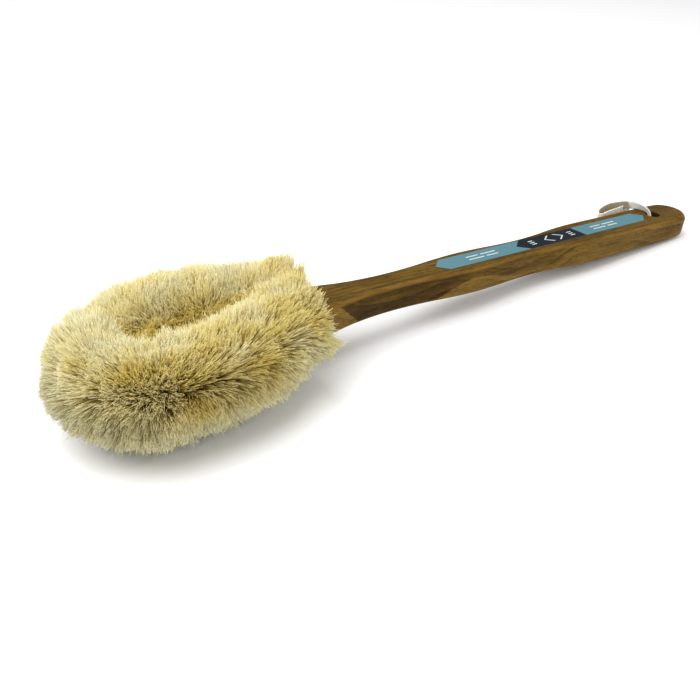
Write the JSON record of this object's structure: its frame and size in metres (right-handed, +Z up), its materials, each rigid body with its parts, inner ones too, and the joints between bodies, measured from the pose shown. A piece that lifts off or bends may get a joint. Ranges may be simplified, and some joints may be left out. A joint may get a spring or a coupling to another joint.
{
  "type": "body dry brush",
  "caption": "Long-handled body brush: a loop of plant fibre twisted in steel wire, a contoured wooden handle with a grip label, and a cotton hang loop.",
  "frame": {"origin": "under the middle of the brush, on the surface that the fibre head and the handle's tail rest on", "axes": "+X along the brush from the fibre head to the handle's tail, +Y to the side where the hang loop lies, +Z up out of the labelled side"},
  "size_m": [0.3957, 0.093, 0.054],
  "materials": {
    "handle_wood": "satin, brown stain with open grain",
    "grip_label": "satin printed film",
    "stem_steel": "galvanised",
    "plant_fibre": "dry cream plant fibre",
    "cotton_tape": "woven cotton"
  },
  "bodies": {
    "brush": {"handle": "handle_wood", "grip_label": "grip_label", "stem_wire_a": "stem_steel", "stem_wire_b": "stem_steel", "bristle_nose": "plant_fibre", "bristle_run_far": "plant_fibre", "bristle_run_near": "plant_fibre", "bristle_heel_far": "plant_fibre", "bristle_heel_near": "plant_fibre"},
    "hang_loop": {"hang_tape": "cotton_tape"}
  },
  "joints": [
    {"name": "loop_swing", "type": "hinge", "parent": "brush", "child": "hang_loop", "pos_m": [0.17175, 0, 0.00914], "axis": [0.0716, 0, 0.9974], "range_deg": [-30, 5]}
  ]
}
